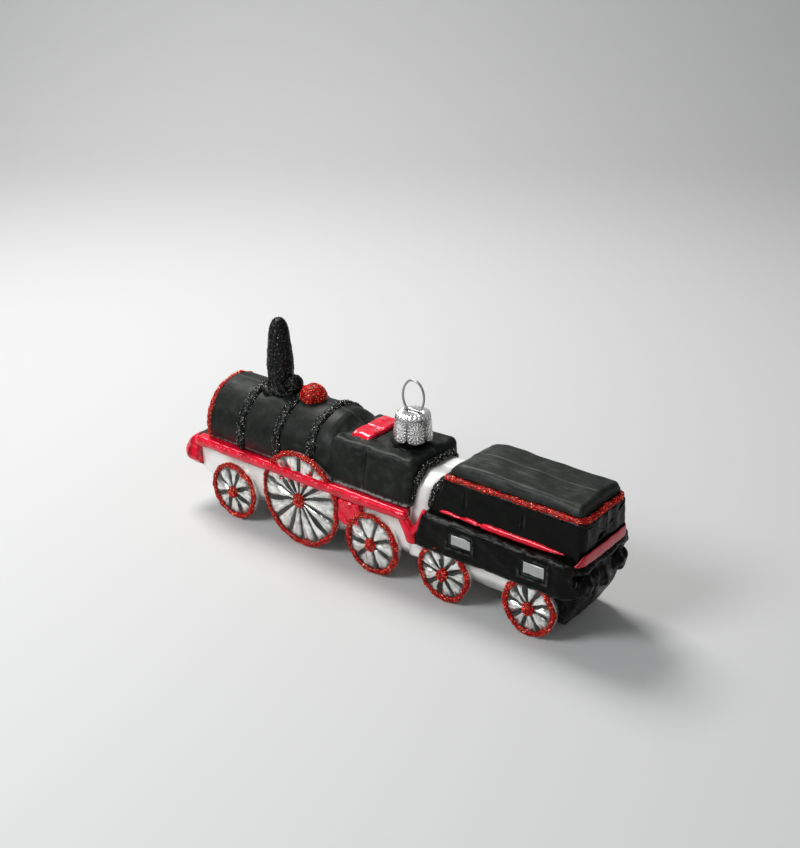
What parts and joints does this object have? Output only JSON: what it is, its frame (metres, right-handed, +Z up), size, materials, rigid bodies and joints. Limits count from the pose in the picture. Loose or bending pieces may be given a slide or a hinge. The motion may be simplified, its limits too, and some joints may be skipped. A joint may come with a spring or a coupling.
{
  "type": "blown glass steam locomotive and tender hanging ornament",
  "caption": "Glass hanging ornament shaped as an old steam locomotive with its tender, painted and glittered, with a metal cap and wire loop.",
  "frame": {"origin": "middle of the footprint, on the surface that the ornament stands on", "axes": "-X towards the front of the locomotive, +X towards the rear of the tender, -Y its left side, +Z up"},
  "size_m": [0.148, 0.031, 0.0646],
  "materials": {
    "matt_black": "matt black paint on glass",
    "gloss_black": "glossy black paint on glass",
    "black_glitter": "black glitter in clear glue",
    "red_glitter": "red glitter in clear glue",
    "red_lacquer": "glossy translucent red lacquer over silver",
    "silver_satin": "satin silver white lacquer on glass",
    "wheel_silver": "silver lacquer on glass with soft relief",
    "spoke_black": "brushed black paint lines",
    "window_silver": "silver paint",
    "cap_metal": "bright embossed tinplate",
    "wire_metal": "bright steel wire"
  },
  "bodies": {
    "root": {"boiler": "matt_black", "smokebox_ring": "red_glitter", "smokebox_door": "matt_black", "boiler_bands": "black_glitter", "chimney": "black_glitter", "sand_dome": "black_glitter", "steam_dome": "red_glitter", "firebox_crown": "matt_black", "cab": "matt_black", "roof_hatch": "red_lacquer", "neck": "gloss_black", "front_beam": "red_lacquer", "front_deck": "matt_black", "running_boards": "red_lacquer", "rail_hooks": "red_lacquer", "loco_chassis": "silver_satin", "axle_guards": "red_lacquer", "leading_wheels": "wheel_silver", "driving_wheels": "wheel_silver", "trailing_wheels": "wheel_silver", "tender_front_wheels": "wheel_silver", "tender_rear_wheels": "wheel_silver", "wheel_rims": "red_glitter", "wheel_spokes": "spoke_black", "wheel_hubs": "red_glitter", "waist": "silver_satin", "cab_bead": "black_glitter", "waist_bead": "black_glitter", "tender_chassis": "silver_satin", "tender_sills": "matt_black", "tender_windows": "window_silver", "tender_tail": "matt_black", "rear_buffers": "matt_black", "tender_tank": "matt_black", "side_stripes": "red_lacquer", "rear_stripe": "red_lacquer", "tender_bead": "red_glitter", "tender_roof": "matt_black"},
    "cap": {"cap": "cap_metal"},
    "hanger": {"hanger_wire": "wire_metal"}
  },
  "joints": [
    {"name": "cap_turn", "type": "hinge", "parent": "root", "child": "cap", "pos_m": [0.0085, 0, 0.0436], "axis": [0, 0, 1], "continuous": true},
    {"name": "hanger_tilt", "type": "hinge", "parent": "cap", "child": "hanger", "pos_m": [0.0085, 0, 0.0474], "axis": [1, 0, 0], "range_deg": [-10, 10]}
  ]
}
